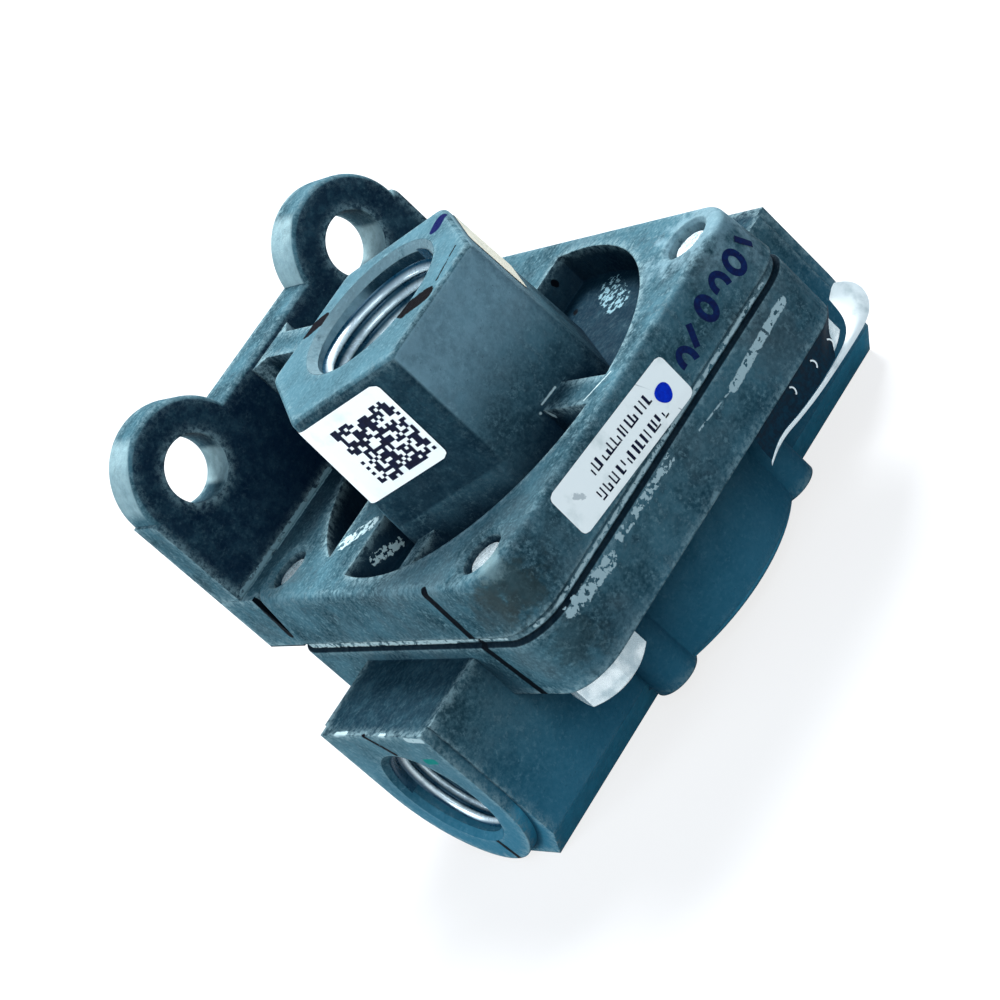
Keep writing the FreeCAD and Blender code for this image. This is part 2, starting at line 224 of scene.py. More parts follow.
def casting(name, machined_faces, strokes, painted_lighting, smudges):
    """As-cast alloy. machined_faces are planes as (axis, distance). strokes and smudges are marks on its
    skin.
    painted_lighting is painted light and shade; the hollows also get painted shade and the lower parts
    painted light.
    """
    made, tree, surface, place = new_material(name)
    skin = shade(tree, "Group", node_tree=cast_skin)
    wear_and_shade = shade(tree, "Group", node_tree=edges_and_hollow_shade)
    tree.links.new(place, skin.inputs["Place"])
    tree.links.new(place, wear_and_shade.inputs["Place"])
    plane = 0.0
    for axis, distance in machined_faces:
        beyond = calc(tree, "GREATER_THAN", vector_calc(tree, "DOT_PRODUCT", place, axis, "Value"), distance)
        plane = calc(tree, "MAXIMUM", beyond, plane)
    tone = tint(tree, skin.outputs["Cloud"], colour(20, 48, 58), colour(56, 92, 104))
    blot = ramp(tree, noise(tree, place, 2.2 * MM, 4.0, 0.65), 0.54, 0.66, 0.0, 0.6)
    tone = tint(tree, blot, tone, colour(14, 36, 48))
    speck = ramp(tree, noise(tree, place, 1.1 * MM, 5.0, 0.8), 0.55, 0.66, 0.0, 0.45)
    tone = tint(tree, speck, tone, colour(112, 146, 154))
    stain = ramp(tree, noise(tree, place, 15 * MM, 4.0, 0.65), 0.5, 0.72, 0.0, 0.6)
    tone = tint(tree, stain, tone, colour(70, 86, 92))
    tone = tint(tree, calc(tree, "MULTIPLY", skin.outputs["Grain"], 0.4), tone, colour(88, 120, 130))
    tone = tint(tree, calc(tree, "MULTIPLY", plane, 0.3), tone, colour(84, 122, 134))
    # Painted shade: sheltered hollows are darkened to a deep blue, standing in for the shade that falls in
    # them.
    tone = tint(tree, calc(tree, "MULTIPLY", wear_and_shade.outputs["Hollow Shade"], 0.9), tone, colour(2, 20, 38))
    height = shade(tree, "SeparateXYZ", {0: place}).outputs["Z"]
    # Painted light: towards the bottom the skin is tinted a lighter, bluer teal, standing in for the bluish
    # light on the lower parts in shade.
    tone = tint(tree, ramp(tree, height, 2 * MM, 26 * MM, 0.6, 0.0), tone, colour(48, 116, 142))
    tone = add_painted_lighting(tree, place, tone, painted_lighting)
    tone = add_smudges(tree, place, tone, smudges)
    tone = tint(tree, calc(tree, "MULTIPLY", wear_and_shade.outputs["Edge"], 0.8), tone, colour(122, 148, 154))
    joint = calc(tree, "MULTIPLY", ramp(tree, height, 28.05 * MM, 28.2 * MM),
                 ramp(tree, height, 28.75 * MM, 28.9 * MM, 1.0, 0.0))
    tone = tint(tree, calc(tree, "MULTIPLY", joint, 0.92), tone, colour(1, 12, 24))
    tone = add_strokes(tree, place, tone, strokes)
    tree.links.new(tone, surface.inputs["Base Color"])
    dull = ramp(tree, skin.outputs["Grain"], 0.0, 1.0, 0.74, 0.58)
    dull = calc(tree, "SUBTRACT", dull, calc(tree, "MULTIPLY", plane, 0.06))
    tree.links.new(dull, surface.inputs["Roughness"])
    surface.inputs["Specular IOR Level"].default_value = 0.015
    rounded = shade(tree, "Bevel", {"Radius": 0.45 * MM}, samples=6).outputs["Normal"]
    rough = calc(tree, "SUBTRACT", 1.0, calc(tree, "MULTIPLY", plane, 0.7))
    relief = calc(tree, "MULTIPLY", skin.outputs["Height"], rough)
    add_bump(tree, surface, 0.6, 0.14 * MM, relief, Normal=rounded)
    return made


def dress(node, material):
    """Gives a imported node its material."""
    nodes[node].data.materials.clear()
    nodes[node].data.materials.append(material)


body_low, body_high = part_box("body")
port_face_x = body_high.x
black_ink = colour(6, 12, 18)
brown_ink = colour(8, 6, 12)
bare_metal_and_highlight = colour(158, 180, 184)
turquoise_ink = colour(6, 110, 104)
body_strokes = [
    ((-30.8, -18.4, 28.6), (-30.8, -20.4, 19.1), 0.75, 0.4, 0.24, black_ink),
    ((-42.7, 1.6, 26.3), (-42.7, -1.4, 22.6), 0.4, 0.4, 0.33, brown_ink),
    ((-42.7, -1.5, 4.4), (-42.7, -2.2, 0.4), 0.5, 0.5, 0.25, black_ink),
    ((-42.7, -7.3, 21.2), (-42.7, -9.4, 21.3), 0.55, 0.2, 0.1, turquoise_ink),
    ((-42.7, -8.6, 25.7), (-42.7, -12.0, 25.5), 0.45, 0.5, 0.35, bare_metal_and_highlight),
    ((-42.5, 8.9, 26.3), (-42.4, 6.2, 26.3), 0.35, 0.7, 0.42, bare_metal_and_highlight),
    ((-42.5, -2.6, 26.3), (-42.5, -3.6, 26.2), 0.3, 0.5, 0.35, bare_metal_and_highlight),
    ((24.0, -31.5, 25.9), (10.8, -31.5, 25.2), 0.62, 0.8, 0.42, bare_metal_and_highlight),
    ((10.8, -31.5, 25.3), (3.4, -31.5, 26.0), 0.1, 0.25, 0.45, bare_metal_and_highlight),
    ((-25.0, -31.5, 27.4), (-17.0, -31.5, 26.7), 0.95, 1.8, 0.46, bare_metal_and_highlight),
    ((-14.0, -31.5, 27.3), (-2.0, -31.5, 27.3), 0.6, 1.3, 0.5, bare_metal_and_highlight),
]
# Painted shade: a dark blue-black laid on the boss tops under the flange, the tower's front left face and the
# recess floors.
painted_shade = colour(3, 28, 42)
body_smudges = [((-27.0, -31.0, 24.0), 5.0, 0.4, colour(36, 44, 44)),
                ((20.0, -31.5, 23.5), 7.0, 0.35, colour(70, 84, 90))]
# Painted shade on the boss tops above 24 mm, and painted light, a lighter teal, on the downward front
# chamfers below 20 mm.
body_painted_lighting = [((0, 0, 1), 22, 24, 0.8, painted_shade), ((0, -0.73, -0.68), 22, 20, 0.75, colour(60, 150, 180))]
face_depth = 0.05 * MM
body_planes = [((1, 0, 0), port_face_x - face_depth), ((-1, 0, 0), port_face_x - face_depth),
               ((0, 0, -1), -face_depth)]
dress("body", casting("body_alloy", body_planes, body_strokes, body_painted_lighting, body_smudges))


# Diaphragm, cover seal, seat ring and spring
# The diaphragm and the seal are black moulded rubber. The ring that carries the diaphragm and the coil
# spring under it are bright steel. The spring stands in the body as a fixed copy of its part.
def rubber(name):
    """Black moulded rubber with a faint bloom."""
    made, tree, surface, place = new_material(name)
    bloom = noise(tree, place, 2.5 * MM, 4.0, 0.6)
    tree.links.new(tint(tree, bloom, colour(26, 27, 29), colour(52, 54, 56)), surface.inputs["Base Color"])
    tree.links.new(ramp(tree, bloom, 0.2, 0.8, 0.5, 0.75), surface.inputs["Roughness"])
    add_bump(tree, surface, 0.3, 0.03 * MM, noise(tree, place, 0.2 * MM))
    return made


def steel(name, dark, light, low_rough, high_rough, metallic=1.0):
    """Plated or bright steel with cloudy tone and fine scuffs."""
    made, tree, surface, place = new_material(name)
    cloud = noise(tree, place, 2.6 * MM, 3.0, 0.5)
    tone = tint(tree, ramp(tree, cloud, 0.35, 0.65), dark, light)
    tree.links.new(tone, surface.inputs["Base Color"])
    tree.links.new(ramp(tree, noise(tree, place, 0.5 * MM), 0.3, 0.7, low_rough, high_rough),
                   surface.inputs["Roughness"])
    surface.inputs["Metallic"].default_value = metallic
    rounded = shade(tree, "Bevel", {"Radius": 0.2 * MM}, samples=6).outputs["Normal"]
    add_bump(tree, surface, 0.25, 0.04 * MM, cloud, Normal=rounded)
    return made


dress("diaphragm", rubber("diaphragm_rubber"))
dress("cover_seal", rubber("seal_rubber"))
dress("seat_ring", steel("ring_steel", colour(150, 158, 162), colour(190, 196, 198), 0.25, 0.4))
dress("diaphragm_spring", steel("spring_steel", colour(120, 128, 134), colour(176, 184, 188), 0.22, 0.38))

coil = bpy.data.objects.new("spring_coil", nodes["diaphragm_spring"].data.copy())
bpy.context.scene.collection.objects.link(coil)
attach(coil, "housing")
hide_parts("diaphragm_spring")
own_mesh(coil)


# Cover casting
# The upper half is the same alloy, cast with the tower, the recess round it, the stay and the bracket.
# Its tower top and the bracket's back are faced, handling has rubbed its rims bright, and the ribs left of
# the tower carry painted highlights.
tower_top_z = 58.3 * MM
bracket_back_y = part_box("bracket")[1].y
flash_and_glint_metal = colour(170, 190, 192)
foot_scrape = ((-29.0, 31.7, 38.8), (-7.7, 31.7, 38.6), 0.45, 0.8, 0.40, colour(104, 132, 140))
cover_strokes = [
    ((-30.1, -16.8, 38.3), (-30.8, -18.3, 28.7), 0.75, 0.4, 0.24, black_ink),
    ((-29.7, 27.8, 38.4), (-30.0, 29.0, 31.0), 0.65, 0.4, 0.28, black_ink),
    ((-2.2, 13.6, 58.3), (-0.6, 11.9, 58.3), 1.3, 0.7, 0.2, brown_ink),
    ((-2.2, -11.6, 58.1), (-0.4, -14.2, 58.3), 1.5, 0.9, 0.2, colour(0, 0, 3)),
    ((7.7, -13.2, 58.3), (2.0, -14.6, 58.3), 0.16, 0.7, 0.42, black_ink),
    ((12.4, -3.6, 58.3), (14.0, -3.1, 58.2), 1.05, 0.25, 0.1, colour(0, 10, 62)),
    ((-30.3, 25.2, 29.1), (-30.4, -12.0, 29.2), 0.5, 0.9, 0.46, bare_metal_and_highlight),
    # Painted highlights: light strokes along the two ribs left of the tower stand in for the light they
    # catch.
    ((-21.2, 12.6, 38.4), (-18.3, 8.4, 38.4), 1.1, 1.6, 0.46, bare_metal_and_highlight),
    ((-22.4, 6.3, 36.2), (-18.4, 6.3, 34.6), 0.7, 1.5, 0.47, bare_metal_and_highlight),
    ((-30.7, -12.0, 29.2), (-30.7, -24.5, 29.2), 0.35, 0.6, 0.44, bare_metal_and_highlight),
    ((-28.6, -29.2, 29.2), (-24.5, -31.0, 29.2), 0.3, 0.5, 0.42, bare_metal_and_highlight),
    ((-24.5, -31.0, 29.2), (24.0, -31.0, 29.2), 0.26, 0.5, 0.44, bare_metal_and_highlight),
    # Painted glints: a thin light line along the tower's foot and a short one at the front rib's corner stand
    # in for highlights.
    ((-1.7, -17.3, 38.9), (1.2, -17.3, 38.7), 0.12, 0.25, 0.30, flash_and_glint_metal),
    ((-2.7, -17.6, 38.4), (-2.4, -18.6, 37.2), 0.35, 0.5, 0.30, flash_and_glint_metal),
    ((-1.6, -26.0, 38.4), (2.6, -27.9, 38.4), 0.12, 0.5, 0.35, flash_and_glint_metal),
    ((21.2, -6.6, 33.4), (24.6, -1.4, 33.4), 2.0, 2.6, 0.52, colour(110, 142, 152)),
    ((23.4, 6.3, 36.9), (23.5, 6.3, 36.6), 0.5, 0.4, 0.1, black_ink),
    ((20.6, 2.8, 33.4), (21.0, 3.2, 33.4), 0.4, 0.3, 0.1, black_ink),
    foot_scrape,
]
cover_smudges = [((-27.3, -30.4, 35.0), 5.5, 0.6, colour(44, 50, 46)),
                 ((-26.6, -28.9, 38.4), 2.6, 0.5, colour(128, 156, 160)),
                 ((-30.5, -27.0, 33.5), 5.0, 0.45, colour(52, 58, 58)),
                 ((26.0, -26.0, 38.4), 9.0, 0.5, colour(126, 156, 166))]
bracket_strokes = [foot_scrape]
# Painted light on the tower's front and front right faces, lighter towards the top; painted shade on its
# front left face above 39 mm and on the recess floors.
painted_light = colour(124, 156, 168)
cover_painted_lighting = [((0, -1, 0), 40, 54, 0.65, painted_light), ((0.87, -0.5, 0), 40, 54, 0.5, painted_light),
               ((-0.87, -0.5, 0), 38.6, 39.2, 0.8, painted_shade), ((0, 0, 1), 34.6, 34.2, 0.85, painted_shade)]
# Painted shade on the bracket's front above 39 mm, and painted light on its faces turned up and left above 46
# mm.
bracket_painted_lighting = [((0, -1, 0), 38, 39, 0.85, colour(2, 20, 40)),
                 ((-0.75, 0, 0.66), 42, 46, 0.6, colour(158, 184, 188))]
back_plane = ((0, 1, 0), bracket_back_y - face_depth)
top_plane = ((0, 0, 1), tower_top_z - face_depth)
dress("cover", casting("cover_alloy", [top_plane, back_plane], cover_strokes, cover_painted_lighting, cover_smudges))
dress("bracket", casting("bracket_alloy", [back_plane], bracket_strokes, bracket_painted_lighting, []))


# Screws
# Four zinc plated steel screws with hexagon heads hold the cover, driven in from below.
screw_steel = steel("screw_zinc", colour(168, 186, 192), colour(222, 232, 234), 0.2, 0.34, 0.6)
for number in range(1, 5):
    dress("screw_%d" % number, screw_steel)


# Port threads
# The three ports are tapped with tapered pipe threads inside the plain bores. Their cut ridges carry
# painted highlights and their roots painted shade, and each mouth has a rough countersunk ring.
def new_piece(name, points, faces, material, body="housing", slot=None):
    """Object made of points and faces, with the given material. It rides the body, if any. The slot is not
    used.
    """
    mesh = bpy.data.meshes.new(name)
    mesh.from_pydata(points.reshape(-1, 3).tolist(), [], faces.tolist())
    mesh.polygons.foreach_set("use_smooth", np.full(len(faces), True))
    mesh.materials.append(material)
    piece = bpy.data.objects.new(name, mesh)
    bpy.context.scene.collection.objects.link(piece)
    if body:
        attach(piece, body)
    return piece


def grid_piece(name, points, material, close_u=False, flip=False, **more):
    """Mesh over a grid of points, shaped rows by columns by 3, with a quad between each four."""
    rows, columns = points.shape[:2]
    index = np.arange(rows * columns).reshape(rows, columns)
    if close_u:
        index = np.concatenate([index, index[:1]])
    quads = np.stack([index[:-1, :-1], index[1:, :-1], index[1:, 1:], index[:-1, 1:]], axis=-1).reshape(-1, 4)
    if flip:
        quads = quads[:, ::-1]
    return new_piece(name, points, quads, material, **more)


def cut_metal_painted_light(name):
    """Freshly cut alloy: bright on the ridges and dark in the roots, by the mesh's own ridge values."""
    made, tree, surface, place = new_material(name)
    ridge = shade(tree, "Attribute", attribute_name="ridge").outputs["Fac"]
    cloud = noise(tree, place, 2.0 * MM, 3.0, 0.5)
    # The ridges are coloured bright, partly as bare cut metal and partly as painted highlights, and the roots
    # dark as painted shade.
    tone = tint(tree, ramp(tree, ridge, 0.15, 0.95), colour(14, 62, 84), colour(222, 236, 240))
    tone = tint(tree, ramp(tree, cloud, 0.45, 0.7, 0.0, 0.35), tone, colour(60, 96, 112))
    tree.links.new(tone, surface.inputs["Base Color"])
    tree.links.new(ramp(tree, cloud, 0.2, 0.8, 0.22, 0.34), surface.inputs["Roughness"])
    surface.inputs["Metallic"].default_value = 0.3
    return made


def round_bore(mouth, inward, across, into, radius, angle):
    """Points inside a bore at a depth, a radius and an angle, which starts from the direction across."""
    mouth, inward, across = (np.array(v, float) for v in (mouth, inward, across))
    side = np.cross(inward, across)
    return (mouth + inward * into[..., None] + across * (radius * np.cos(angle))[..., None]
            + side * (radius * np.sin(angle))[..., None])


def thread(name, mouth, inward, across, start_depth, root_radius, pitch, depth, turns, material, slot):
    """Helical ridges inside a bore.

    A point's angle runs round the bore, and its depth grows by one pitch a turn. The radius is the root's,
    less the taper of one in 32 of the depth, less the ridge's height at that place in the pitch.
    """
    angle = np.linspace(0, 2 * math.pi * turns, turns * 72 + 1)[:, None]
    profile = np.linspace(0, 1, 11)[None, :]
    ridge = np.clip(2.9 * (0.5 - np.abs(profile - 0.5)) - 0.2, 0, 1) + 0 * angle
    fade = np.clip(angle / 2.2, 0, 1)
    into = start_depth + pitch * (angle / (2 * math.pi) + profile)
    radius = root_radius - into / 32 - depth * ridge * fade
    points = round_bore(mouth, inward, across, into, radius, angle)
    piece = grid_piece(name, points, material, slot=slot)
    values = piece.data.attributes.new("ridge", "FLOAT", "POINT")
    values.data.foreach_set("value", (ridge * fade).ravel())


def mouth_ring(name, mouth, inward, across, radii, depths, material, slot):
    """Countersunk ring at a port's mouth: a cone between two radii, roughened by three waves."""
    angle = np.linspace(0, 2 * math.pi, 241)[:-1][:, None]
    share = np.linspace(0, 1, 6)[None, :]
    waves = np.sin(37 * angle + 5 * share) + np.sin(61 * angle - 3 * share) + np.sin(97 * angle + 9 * share)
    radius = radii[0] + (radii[1] - radii[0]) * share + 0.02 * MM * waves * np.sin(math.pi * share)
    into = depths[0] + (depths[1] - depths[0]) * share + 0 * angle
    points = round_bore(mouth, inward, across, into, radius, angle)
    grid_piece(name, points, material, close_u=True, slot=slot)


thread_metal_painted_light = cut_metal_painted_light("thread_cut_painted_light")
ring_metal = casting("mouth_skin", [], [], [], [((0, 0, 58), 30, 0.4, colour(140, 165, 172))])
supply_mouth = (0, 0, tower_top_z)
thread("supply_thread", supply_mouth, (0, 0, -1), (1, 0, 0), start_depth=0.75 * MM, root_radius=10.17 * MM,
       pitch=1.81 * MM, depth=0.95 * MM, turns=8, material=thread_metal_painted_light, slot="cover_casting")
mouth_ring("supply_mouth_ring", supply_mouth, (0, 0, -1), (1, 0, 0), radii=(11.05 * MM, 10.12 * MM),
           depths=(0.0, 1.08 * MM), material=ring_metal, slot="cover_casting")
delivery_port_z = 13.2 * MM
for port, side in (("left", -1), ("right", 1)):
    port_mouth = (side * port_face_x, 0, delivery_port_z)
    thread("delivery_thread_" + port, port_mouth, (-side, 0, 0), (0, 1, 0), start_depth=0.6 * MM,
           root_radius=8.27 * MM, pitch=1.41 * MM, depth=0.75 * MM, turns=9, material=thread_metal_painted_light,
           slot="body_casting")
    mouth_ring("delivery_mouth_ring_" + port, port_mouth, (-side, 0, 0), (0, 1, 0),
               radii=(8.96 * MM, 8.22 * MM), depths=(0.0, 0.88 * MM), material=ring_metal,
               slot="body_casting")


# Labels
# Two paper labels are stuck to the tower. The white one carries a pattern of dots and wraps round the
# left corner, where its edge is torn. The cream one on the right side is blank.
def paper(name, clean, grimy, strokes):
    """Matt paper with faint grime, and with strokes as on the castings."""
    made, tree, surface, place = new_material(name)
    dirty = ramp(tree, noise(tree, place, 4 * MM, 4.0, 0.6), 0.5, 0.75)
    tone = add_strokes(tree, place, tint(tree, dirty, clean, grimy), strokes)
    tree.links.new(tone, surface.inputs["Base Color"])
    tree.links.new(ramp(tree, dirty, 0.0, 1.0, 0.5, 0.7), surface.inputs["Roughness"])
    add_bump(tree, surface, 0.2, 0.02 * MM, noise(tree, place, 0.3 * MM))
    return made


def printed(name, ink, thin):
    """Printed or stamped ink that is a little uneven."""
    made, tree, surface, place = new_material(name)
    uneven = ramp(tree, noise(tree, place, 0.6 * MM, 3.0, 0.6), 0.35, 0.7)
    tree.links.new(tint(tree, uneven, ink, thin), surface.inputs["Base Color"])
    tree.links.new(ramp(tree, uneven, 0.0, 1.0, 0.65, 0.8), surface.inputs["Roughness"])
    surface.inputs["Specular IOR Level"].default_value = 0.1
    return made


tower_centre = np.array([-1.3, -1.0]) * MM
tower_across = 31.2 * MM
tower_draft = 0.9 * MM
tower_low_z = 32.4 * MM
tower_corner_r = 2.0 * MM
tower_paper_lift = 0.09 * MM
tower_ink_lift = 0.12 * MM


def on_tower(along, height, lift):
    """Points on the six-sided tower, at a distance along from the middle of its front left face.

    The face is straight up to where its rounded corner begins. There the point goes round an arc of 60
    degrees and on to the next face. A positive distance goes towards the front.
    """
    share = (tower_top_z - height) / (tower_top_z - tower_low_z)
    apothem = tower_across / 2 + tower_draft * share
    corner = tower_corner_r + lift
    setback = tower_corner_r * math.tan(math.pi / 6)
    straight = apothem * math.tan(math.pi / 6) - setback
    arc = tower_corner_r * math.pi / 3
    past = np.abs(along) - straight
    turn = np.clip(past / arc, 0, 1) * math.pi / 3
    beyond = np.clip(past - arc, 0, None)
    sideways = np.minimum(np.abs(along), straight) + corner * np.sin(turn) + beyond * math.cos(math.pi / 3)
    outward = apothem - tower_corner_r + corner * np.cos(turn) - beyond * math.sin(math.pi / 3)
    sideways = sideways * np.sign(along)
    facing = math.radians(210)
    x = tower_centre[0] + outward * math.cos(facing) - sideways * math.sin(facing)
    y = tower_centre[1] + outward * math.sin(facing) + sideways * math.cos(facing)
    return np.stack([x, y, height + 0 * x], axis=-1)


def rounded_grid(half_width, half_height, corner, rows=41, columns=31):
    """Grid over a rectangle with rounded corners: near its ends each line is shortened by the arc."""
    up = np.linspace(-1, 1, columns)[None, :] * half_height
    into_corner = np.clip(np.abs(up) - (half_height - corner), 0, corner)
    reach = half_width - corner + np.sqrt(corner ** 2 - into_corner ** 2)
    across = np.linspace(-1, 1, rows)[:, None] * reach
    return across, up + 0 * across


def quads_piece(name, points, material):
    """Mesh of separate four-sided patches, shaped patches by 4 by 3."""
    return new_piece(name, points, np.arange(len(points) * 4).reshape(-1, 4), material)


label_paper = paper("label_paper", colour(246, 249, 248), colour(226, 232, 231), [])
label_ink = printed("label_ink", colour(8, 12, 34), colour(20, 26, 52))
label_across, label_up = rounded_grid(10.6 * MM, 6.55 * MM, 1.0 * MM)
label_middle = -6.0 * MM
label_z = 50.1 * MM
tear = 0.35 * MM * (np.sin(label_up / MM * 2.9) + np.sin(label_up / MM * 7.3 + 1))
label_across = np.where(label_across < -10 * MM, label_across + tear, label_across)
label_points = on_tower(label_across + label_middle, label_z + label_up, tower_paper_lift)
grid_piece("tower_label", label_points, label_paper)

dots = np.random.default_rng(7).random((20, 20)) < 0.58
dots_middle = -0.85 * MM
dots_z = 49.6 * MM
cell = 0.485 * MM
dot_rows, dot_columns = np.nonzero(dots)
corners = np.array([(-0.5, -0.5), (0.5, -0.5), (0.5, 0.5), (-0.5, 0.5)]) * cell * 1.04
dot_along = dots_middle + (dot_columns[:, None] - 9.5) * cell + corners[None, :, 0]
dot_height = dots_z + (dot_rows[:, None] - 9.5) * cell + corners[None, :, 1]
quads_piece("tower_label_dots", on_tower(dot_along, dot_height, tower_ink_lift), label_ink)

second_across, second_up = rounded_grid(6.0 * MM, 5.1 * MM, 1.0 * MM)
second_middle = 3.2 * MM
second_z = 51.6 * MM
second_turn = math.radians(120)
turn_matrix = np.array([[math.cos(second_turn), -math.sin(second_turn)],
                        [math.sin(second_turn), math.cos(second_turn)]])
second_points = on_tower(second_across + second_middle, second_z + second_up, tower_paper_lift)
second_points[..., :2] = (second_points[..., :2] - tower_centre) @ turn_matrix.T + tower_centre
cream_paper = paper("cream_paper", colour(214, 210, 186), colour(168, 176, 164), [])
grid_piece("tower_side_label", second_points, cream_paper)


# Front wall label
# The white label on the cover's front wall is stuck a little askew. It has two rows of printed ticks,
# a crease near its right end drawn as thin lines of painted shade, a grey smudge and a blue inspection dot.
wall_half_x = 30.8 * MM
wall_corner_r = 6.5 * MM
wall_low_z = 30.0 * MM
wall_draft = 0.7 / 8.4
wall_front_y = body_low.y - 0.005 * MM
wall_paper_lift = 0.07 * MM
wall_ink_lift = 0.10 * MM
stamp_lift = 0.03 * MM
blob_lift = 0.13 * MM


def on_wall(along, height, lift):
    """Points on the cover's front wall, at a distance along from its middle, bent round the corner."""
    straight = wall_half_x - wall_corner_r
    angle = np.clip((along - straight) / wall_corner_r, 0, None)
    inset = np.clip(height - wall_low_z, 0, None) * wall_draft
    corner = wall_corner_r + lift - inset
    x = np.minimum(along, straight) + corner * np.sin(angle)
    y = np.maximum(body_low.y + wall_corner_r - corner * np.cos(angle), wall_front_y)
    return np.stack([x, y, height + 0 * x], axis=-1)


def tilted(middle, tilt, across, up):
    """Position on the wall, as distance along and height, of a place in a tilted label's own frame."""
    along = middle[0] + across * math.cos(tilt) - up * math.sin(tilt)
    height = middle[1] + across * math.sin(tilt) + up * math.cos(tilt)
    return along, height


wall_middle = np.array([-4.86, 33.43]) * MM
wall_tilt = math.radians(-4.3)
# The first two marks are painted shade: thin grey lines along the crease. The third is a grey smudge.
label_marks = [((2.0, -30.98, 36.4), (2.9, -31.1, 34.2), 0.06, 0.05, 0.1, colour(90, 104, 110)),
               ((3.6, -31.45, 29.9), (3.9, -31.5, 29.0), 0.06, 0.05, 0.1, colour(90, 104, 110)),
               ((-13.9, -31.2, 34.9), (-13.3, -31.2, 34.2), 0.4, 1.4, 0.5, colour(190, 196, 196))]
wall_paper = paper("wall_paper", colour(244, 246, 242), colour(214, 220, 216), label_marks)
wall_across, wall_up = rounded_grid(11.8 * MM, 3.28 * MM, 0.9 * MM)
wall_along, wall_height = tilted(wall_middle, wall_tilt, wall_across, wall_up)
grid_piece("wall_label", on_wall(wall_along, wall_height, wall_paper_lift), wall_paper)

tick_source = np.random.default_rng(21)
tick_half = 0.72
ticks = []
for row_start, row_end, row_up in ((-5.4, 6.6, 1.05), (-6.9, 6.8, -1.65)):
    place = row_start
    while place < row_end:
        width = tick_source.choice([0.22, 0.3, 0.42])
        tall = tick_source.choice([tick_half, tick_half, 0.45])
        low_up = row_up - tick_half + (tick_source.random() < 0.5) * 2 * (tick_half - tall)
        ticks.append((place, place + width, low_up, low_up + 2 * tall))
        if tick_source.random() < 0.45:
            ticks.append((place, place + 0.75, row_up - tick_half, row_up - 0.5))
        place += width + tick_source.choice([0.3, 0.45, 0.6])
ticks = np.array(ticks) * MM
tick_across = np.stack([ticks[:, 0], ticks[:, 1], ticks[:, 1], ticks[:, 0]], axis=1)
tick_up = np.stack([ticks[:, 2], ticks[:, 2], ticks[:, 3], ticks[:, 3]], axis=1)
tick_along, tick_height = tilted(wall_middle, wall_tilt, tick_across, tick_up)
quads_piece("wall_label_ticks", on_wall(tick_along, tick_height, wall_ink_lift), label_ink)


# Stamped marks
# A row of soft blue ink marks runs along the wall beside the label, partly worn into the rough skin.
# They are rings and bars only. The inspection dot is a blob of bright blue paint.
def ribbon(path, width):
    """Flat band along a path of positions on the wall: each point is moved sideways by half the width."""
    path = np.array(path, float)
    ahead = np.gradient(path, axis=0)
    ahead /= np.linalg.norm(ahead, axis=1, keepdims=True)
    beside = np.stack([-ahead[:, 1], ahead[:, 0]], axis=1) * width / 2
    return np.stack([path - beside, path + beside], axis=1)


stamp_ink = printed("stamp_ink", colour(2, 14, 56), colour(8, 32, 78))
stamp_width = 0.9
turn = np.linspace(0, 2 * math.pi, 33)
ring = np.stack([1.05 * np.cos(turn), 1.5 * np.sin(turn)], axis=1)
arc = np.stack([1.05 * np.cos(turn[:21] - 0.6), 1.5 * np.sin(turn[:21] - 0.6)], axis=1)
bar = np.array([(-0.75, -1.3), (-0.3, -0.5), (0.3, 0.5), (0.75, 1.3)])
shapes = [(9.3, 32.2, arc), (12.1, 33.4, bar), (16.1, 33.8, ring), (19.8, 33.9, arc), (23.3, 34.0, ring),
          (26.7, 34.3, bar * (1, -1))]
for number, (along, height, path) in enumerate(shapes):
    band = ribbon(path + (along, height), stamp_width) * MM
    stamp_points = on_wall(band[..., 0], band[..., 1], stamp_lift)
    grid_piece("stamp_mark_%d" % number, stamp_points, stamp_ink, flip=True)

dot_blue = printed("dot_blue", colour(0, 34, 165), colour(0, 48, 190))
dot_reach = np.linspace(0.0001, 1.25, 6)[None, :] * (1 + 0.05 * np.sin(3 * turn))[:-1, None]
dot_centre_x, dot_centre_z = 3.72, 32.64
dot_x = (dot_centre_x + dot_reach * np.cos(turn[:-1])[:, None]) * MM
dot_z = (dot_centre_z + dot_reach * np.sin(turn[:-1])[:, None]) * MM
grid_piece("inspection_dot", on_wall(dot_x, dot_z, blob_lift), dot_blue, close_u=True)


# Curled label
# A narrow paper label has come loose under the right end of the body. Its back hangs from the flange's lower
# edge, painted dark as shade, its cut edge shows as a thin white line, and its free end curls round white.
def smooth_path(points, count):
    """Path through the points at even steps of their distance, rounded by a short moving average."""
    points = np.array(points, float) * MM
    distance = np.concatenate([[0], np.cumsum(np.linalg.norm(np.diff(points, axis=0), axis=1))])
    fine = np.linspace(0, distance[-1], count)
    path = np.stack([np.interp(fine, distance, points[:, axis]) for axis in range(3)], axis=1)
    reach = count // 16
    window = np.ones(2 * reach + 1) / (2 * reach + 1)
    for axis in range(3):
        ends = np.pad(path[:, axis], reach, mode="reflect", reflect_type="odd")
        path[:, axis] = np.convolve(ends, window, "valid")
    return path


def between(first, second, bulge):
    """Surface ruled between two paths, pushed along bulge most at the middle of its width."""
    share = np.linspace(0, 1, 9)[None, :, None]
    ruled = first[:, None] * (1 - share) + second[:, None] * share
    return ruled + np.array(bulge) * MM * np.sin(math.pi * share)


